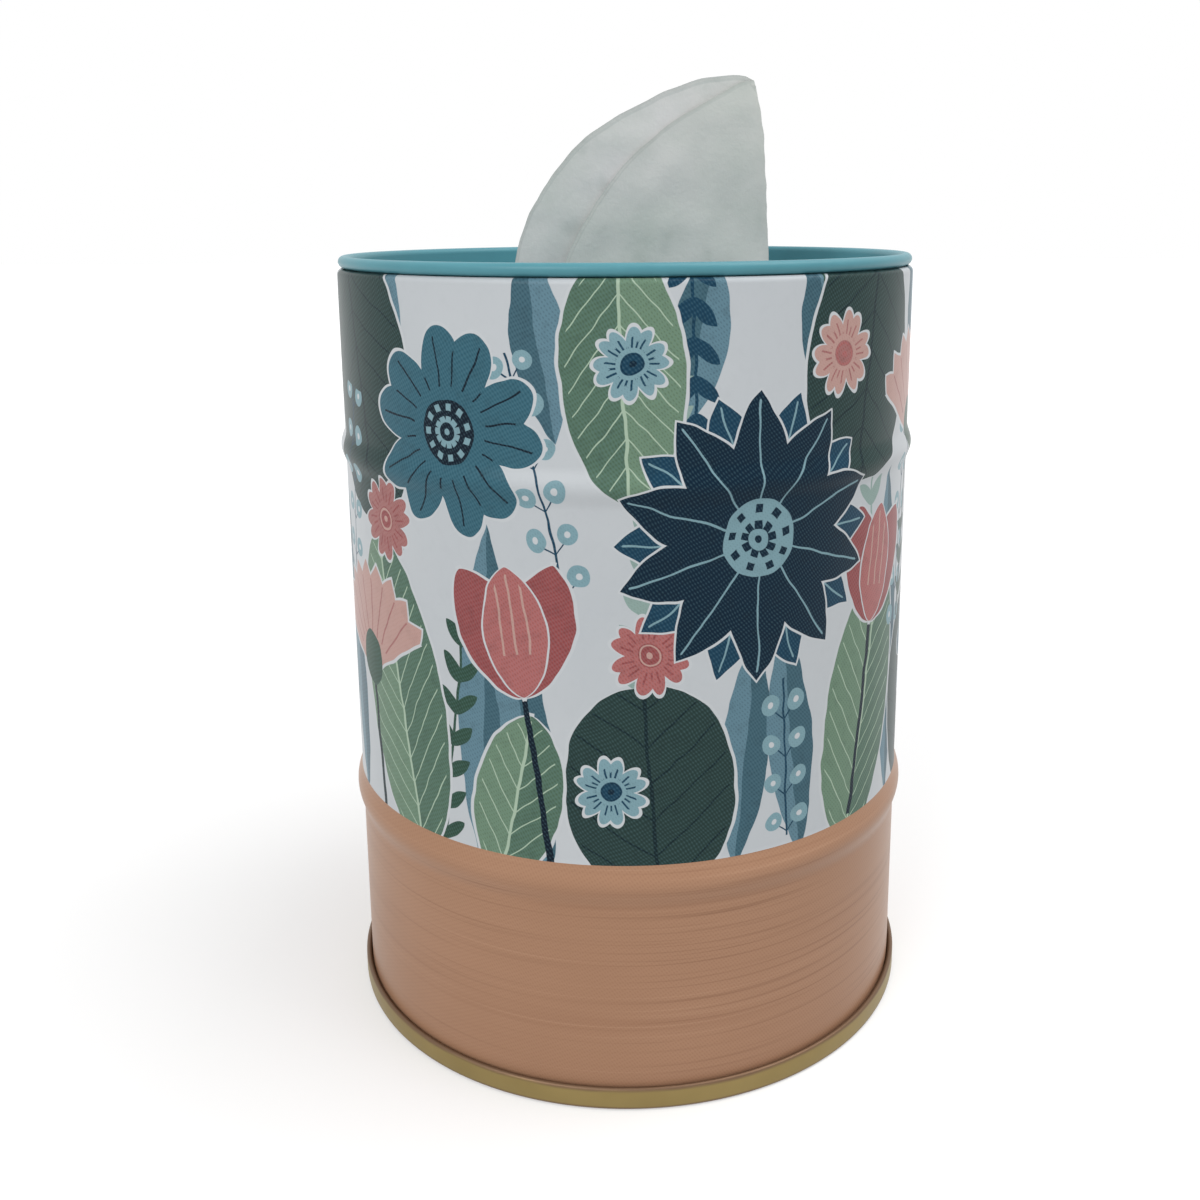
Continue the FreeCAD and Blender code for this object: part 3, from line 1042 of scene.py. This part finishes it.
# Raised tissue.
# One tissue gathered in folds and drawn up through the slot, so that it stands like a fin out of the lid.
# Its rear leaf rises higher than its front leaf, and both meet in the fold at the right.
raised_foot, raised_tip = (corner.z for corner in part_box("raised_tissue"))
raised_columns = 216
raised_rows = 160
leaf_left = -0.018
leaf_right = 0.022
leaf_right_at_tip = 0.0185
leaf_middle = 0.0037
leaf_gap = 0.0006
ply_offset = 0.00004
cut_step = 0.0004
edge_rounds = 4
free_from = 0.001
free_over = 0.014
fold_start = 0.97
fold_share = 0.03
crowding = 1.4
crease_across = 0.0088
crease_width = 0.0009
crease_depth = 0.0003
belly_depth = 0.0006
front_belly_depth = 0.0008
rumple_depth = 0.0006
rumple_cells = (90, 60, -3.0)
fine_depth = 0.00022
fine_cells = (300, 240, -3.0)
ragged_depth = 0.00022
ragged_cells = (420, 420, 4.0)
ragged_top = 0.00016
press_sharpness = 6
top_sharpness = 6
steady_lean = 0.55
tip_lean = 0.45
tip_sharpness = 8
rear_top = [
    (-0.0180, 0.1030),
    (-0.0167, 0.1091),
    (-0.0148, 0.1154),
    (-0.0112, 0.1213),
    (-0.0059, 0.1271),
    (0.0040, 0.1328),
    (0.0108, 0.1354),
    (0.0150, 0.1359),
    (0.0178, 0.1357),
    (0.0187, 0.1350),
    (0.0192, 0.1336),
    (0.0230, 0.1300),
]
front_top = [
    (-0.0180, 0.0700),
    (-0.0130, 0.0920),
    (-0.0086, 0.1086),
    (-0.0060, 0.1142),
    (-0.0024, 0.1197),
    (0.0022, 0.1251),
    (0.0083, 0.1298),
    (0.0142, 0.1331),
    (0.0178, 0.1350),
    (0.0187, 0.1348),
    (0.0192, 0.1336),
    (0.0230, 0.1300),
]
# Each panel: its upper edge, how far that is shifted, its depth from the middle, and which way it runs.
panels = [
    (rear_top, 0.0, 0.00088, 1),
    (front_top, 0.0, -0.00088, -1),
    (front_top, 0.0005, -0.00072, 1),
    (rear_top, -0.0003, 0.00072, -1),
]
front_panels = (0.25, 0.75)


def smooth_edge(points, across):
    """Height of an edge drawn smoothly through points (across, height)."""
    across = max(points[0][0], min(points[-1][0], across))
    last = len(points) - 1
    index = max(step for step in range(last) if points[step][0] <= across)
    slopes = []
    for end in (index, index + 1):
        before, after = points[max(end - 1, 0)], points[min(end + 1, last)]
        slopes.append((after[1] - before[1]) / (after[0] - before[0]))
    (near, near_height), (far, far_height) = points[index], points[index + 1]
    width = far - near
    share = (across - near) / width
    square, cube = share**2, share**3
    rise = near_height * (2 * cube - 3 * square + 1) + far_height * (3 * square - 2 * cube)
    bend = slopes[0] * (cube - 2 * square + share) + slopes[1] * (cube - square)
    return rise + width * bend


def right_edge(tall):
    """The fold at the right leans in above the lid, and most of all at its tip."""
    lean = max(0.0, (tall - lid_panel) / (raised_tip - lid_panel))
    inward = steady_lean * lean + tip_lean * lean**tip_sharpness
    return leaf_right + (leaf_right_at_tip - leaf_right) * inward


def raised_shape(along, across):
    """Four panels, rear, front, front and rear, nested like a flattened roll, each folded at the foot."""
    count = len(panels)
    panel = min(count - 1, int(along * count))
    share = along * count - panel
    edge, shift, depth, way = panels[panel]
    share = share if way > 0 else 1 - share
    reach = share**crowding
    up, side = folded_leaf(across)
    tall = raised_tip
    for _ in range(edge_rounds):
        at_x = leaf_left + reach * (right_edge(tall) - leaf_left)
        tall = smooth_edge(edge, at_x + shift) - (cut_step if side < 0 else 0.0)
    tall = raised_foot + up * (tall - raised_foot)
    at_x = leaf_left + reach * (right_edge(tall) - leaf_left)
    closing = math.sqrt(max(0.0, 1 - max(0.0, (reach - fold_start) / fold_share) ** 2))
    free = clamped((tall - lid_panel - free_from) / free_over)
    free = free * free * (3 - 2 * free)
    leaf = 1 if depth > 0 else -1
    rumple = crumpled(at_x, tall, rumple_cells)
    fine = crumpled(at_x, tall, fine_cells)
    ragged = crumpled(at_x, tall, ragged_cells)
    belly = -belly_depth * math.sin(math.pi * min(1.0, reach))
    if leaf < 0:
        belly -= front_belly_depth * (1 - reach) ** 2
    pressed = free * (1 - (1 - reach) ** press_sharpness)
    at_y = leaf_middle + (depth - leaf * leaf_gap * pressed) * closing + leaf * side * ply_offset
    at_y += free * (belly + rumple_depth * rumple + fine_depth * fine)
    if leaf > 0:
        at_y += free * crease_depth * clamped((at_x - crease_across) / crease_width)
    at_x += free * ragged_depth * ragged
    tall += free * up**top_sharpness * ragged_top * fine
    return Vector((at_x, at_y, tall))


raised_tissue = lay_paper("raised_tissue_paper", raised_columns, raised_rows, raised_shape, front_panels)
finish_paper(raised_tissue)
raised_tissue.data.materials.append(tissue_paper)
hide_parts("raised_tissue")
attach(raised_tissue, "tissue")

# Studio.
# A pale floor, a white surround and two soft boxes, with the camera where the photograph was taken.
floor_size = 6.0
floor_grey = (0.6, 0.6, 0.6, 1.0)
white = (1.0, 1.0, 1.0, 1.0)
black = (0.0, 0.0, 0.0, 1.0)
glow_near = 0.08
glow_far = 0.9
near_glow = 0.36
far_glow = 0.75


def seen_directly(ink):
    """One for rays from the camera, from gloss and through glass, which show the white of the studio."""
    seen = ink.node("ShaderNodeLightPath", {}, {}, "Is Camera Ray")
    for ray in ("Is Glossy Ray", "Is Transmission Ray"):
        seen = seen.most(ink.node("ShaderNodeLightPath", {}, {}, ray))
    return seen


bpy.ops.object.select_all(action="DESELECT")
bpy.ops.mesh.primitive_plane_add(size=floor_size, location=(0, 0, 0))
floor = bpy.context.object
floor.name = "studio_floor"
floor_white, floor_shader, place = new_finish("studio_floor_white")
floor_shader.inputs["Base Color"].default_value = floor_grey
floor_shader.inputs["Roughness"].default_value = 0.9
floor_shader.inputs["Emission Strength"].default_value = 1.0
far_out = place.node("ShaderNodeVectorMath", {"operation": "LENGTH"}, {0: place}, "Value")
glow = place.node(
    "ShaderNodeMapRange",
    {"interpolation_type": "SMOOTHSTEP"},
    {0: far_out, 1: glow_near, 2: glow_far, 3: near_glow, 4: far_glow},
)
feed(floor_shader, emission_color=(seen_directly(place) * glow).between(black, white))
floor.data.materials.append(floor_white)

world = bpy.data.worlds.new("studio_surround")
bpy.context.scene.world = world
world.use_nodes = True
sky = world.node_tree.nodes["Background"]
sky.inputs["Color"].default_value = white
sky_level = seen_directly(Ink(world.node_tree)).rising(start=0.61, by=0.39)
world.node_tree.links.new(sky_level.socket, sky.inputs["Strength"])


def soft_box(name, place, size, power):
    """A square soft light that faces the middle of the tin."""
    target = Vector((0, 0, 0.06))
    lamp = bpy.data.lights.new(name, "AREA")
    lamp.shape = "SQUARE"
    lamp.size = size
    lamp.energy = power
    light = bpy.data.objects.new(name, lamp)
    bpy.context.scene.collection.objects.link(light)
    light.location = place
    light.rotation_euler = (target - Vector(place)).to_track_quat("-Z", "Y").to_euler()


soft_box("softbox_front_left", place=(-0.5, -0.75, 0.65), size=0.6, power=5.2)
soft_box("softbox_top", place=(0.42, -0.05, 0.9), size=0.7, power=5.6)

camera_place = (0.00109, -0.18807, 0.11606)
camera_pitch = -0.2079
camera_roll = -0.0056
forward = Vector((0, math.cos(camera_pitch), math.sin(camera_pitch)))
right = Vector((1, 0, 0))
up = right.cross(forward)
rolled_right = math.cos(camera_roll) * right + math.sin(camera_roll) * up
rolled_up = math.cos(camera_roll) * up - math.sin(camera_roll) * right
camera_data = bpy.data.cameras.new("photo_camera")
camera_data.sensor_width = 36.0
camera_data.lens = 37.73
camera_data.shift_x = -0.0283
camera_data.shift_y = -0.1
camera_data.clip_start = 0.01
camera = bpy.data.objects.new("photo_camera", camera_data)
bpy.context.scene.collection.objects.link(camera)
turned = Matrix((rolled_right, rolled_up, -forward)).transposed().to_4x4()
camera.matrix_world = Matrix.Translation(camera_place) @ turned
bpy.context.scene.camera = camera
bpy.context.scene.view_settings.view_transform = "Standard"
